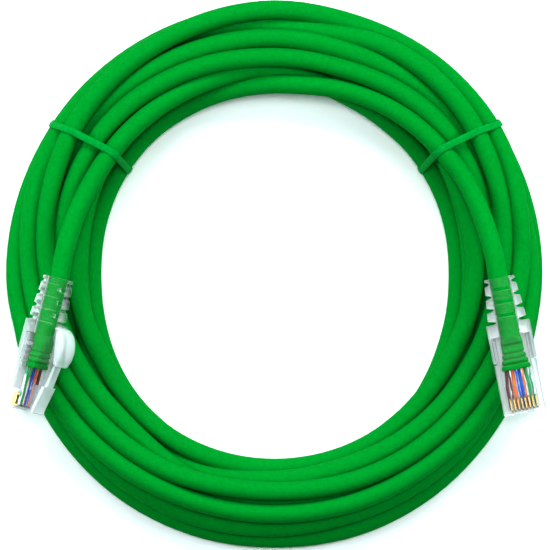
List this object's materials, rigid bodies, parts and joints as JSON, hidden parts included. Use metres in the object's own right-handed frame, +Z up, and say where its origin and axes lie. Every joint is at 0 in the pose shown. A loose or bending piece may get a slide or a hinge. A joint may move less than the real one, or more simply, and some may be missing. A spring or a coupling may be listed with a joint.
{
  "type": "ethernet patch cable",
  "caption": "Coiled round network patch cable in a matte jacket, with a clear modular plug, snagless boot and latch guard on each end, held by twist ties.",
  "frame": {"origin": "middle of the coil, on the surface that it lies on", "axes": "+Z up, the coil's axis; +Y from the middle of the coil towards the side between the two ties; plug A lies on the -X side and plug B on the +X side, both with their noses towards -Y"},
  "size_m": [0.153, 0.153, 0.0297],
  "materials": {
    "jacket": "matte extruded PVC",
    "tie": "flat plastic strap",
    "clear_housing": "clear moulded polycarbonate",
    "clear_boot": "clear soft moulded plastic",
    "contact_gold": "gold plated phosphor bronze",
    "wire_white_green": "conductor insulation",
    "wire_green": "conductor insulation",
    "wire_white_orange": "conductor insulation",
    "wire_blue": "conductor insulation",
    "wire_white_blue": "conductor insulation",
    "wire_orange": "conductor insulation",
    "wire_white_brown": "conductor insulation",
    "wire_brown": "conductor insulation"
  },
  "bodies": {
    "root": {"plug_a_housing": "clear_housing", "plug_a_load_bar": "clear_housing", "plug_a_cable_clamp": "clear_housing", "plug_a_jacket_end": "jacket", "plug_a_boot": "clear_boot", "plug_a_contact_1": "contact_gold", "plug_a_wire_1_white_green": "wire_white_green", "plug_a_contact_2": "contact_gold", "plug_a_wire_2_green": "wire_green", "plug_a_contact_3": "contact_gold", "plug_a_wire_3_white_orange": "wire_white_orange", "plug_a_contact_4": "contact_gold", "plug_a_wire_4_blue": "wire_blue", "plug_a_contact_5": "contact_gold", "plug_a_wire_5_white_blue": "wire_white_blue", "plug_a_contact_6": "contact_gold", "plug_a_wire_6_orange": "wire_orange", "plug_a_contact_7": "contact_gold", "plug_a_wire_7_white_brown": "wire_white_brown", "plug_a_contact_8": "contact_gold", "plug_a_wire_8_brown": "wire_brown", "plug_b_housing": "clear_housing", "plug_b_load_bar": "clear_housing", "plug_b_cable_clamp": "clear_housing", "plug_b_jacket_end": "jacket", "plug_b_boot": "clear_boot", "plug_b_contact_1": "contact_gold", "plug_b_wire_1_white_green": "wire_white_green", "plug_b_contact_2": "contact_gold", "plug_b_wire_2_green": "wire_green", "plug_b_contact_3": "contact_gold", "plug_b_wire_3_white_orange": "wire_white_orange", "plug_b_contact_4": "contact_gold", "plug_b_wire_4_blue": "wire_blue", "plug_b_contact_5": "contact_gold", "plug_b_wire_5_white_blue": "wire_white_blue", "plug_b_contact_6": "contact_gold", "plug_b_wire_6_orange": "wire_orange", "plug_b_contact_7": "contact_gold", "plug_b_wire_7_white_brown": "wire_white_brown", "plug_b_contact_8": "contact_gold", "plug_b_wire_8_brown": "wire_brown", "cable_coil": "jacket", "cable_tail_a": "jacket", "cable_tail_b": "jacket", "twist_tie_1": "tie", "twist_tie_2": "tie"},
    "plug_a_guard_body": {"plug_a_latch_guard": "clear_boot"},
    "plug_a_latch_body": {"plug_a_latch": "clear_housing"},
    "plug_b_guard_body": {"plug_b_latch_guard": "clear_boot"},
    "plug_b_latch_body": {"plug_b_latch": "clear_housing"}
  },
  "joints": [
    {"name": "plug_a_guard_press", "type": "hinge", "parent": "root", "child": "plug_a_guard_body", "pos_m": [-0.05959, -0.01479, 0.02424], "axis": [0.4248, -0.1083, -0.8988], "range_deg": [0, 13], "stiffness_Nm_per_rad": 0.004},
    {"name": "plug_a_latch_press", "type": "hinge", "parent": "root", "child": "plug_a_latch_body", "pos_m": [-0.06597, -0.03762, 0.02398], "axis": [-0.4248, 0.1083, 0.8988], "range_deg": [0, 9.2]},
    {"name": "plug_b_guard_press", "type": "hinge", "parent": "root", "child": "plug_b_guard_body", "pos_m": [0.06443, -0.01395, 0.0203], "axis": [-0.9816, -0.1908, 0], "range_deg": [0, 13], "stiffness_Nm_per_rad": 0.004},
    {"name": "plug_b_latch_press", "type": "hinge", "parent": "root", "child": "plug_b_latch_body", "pos_m": [0.06895, -0.03721, 0.0209], "axis": [0.9816, 0.1908, 0], "range_deg": [0, 9.2]}
  ],
  "couplings": [
    {"joint": "plug_a_latch_press", "follows": "plug_a_guard_press", "ratio": 0.7},
    {"joint": "plug_b_latch_press", "follows": "plug_b_guard_press", "ratio": 0.7}
  ]
}
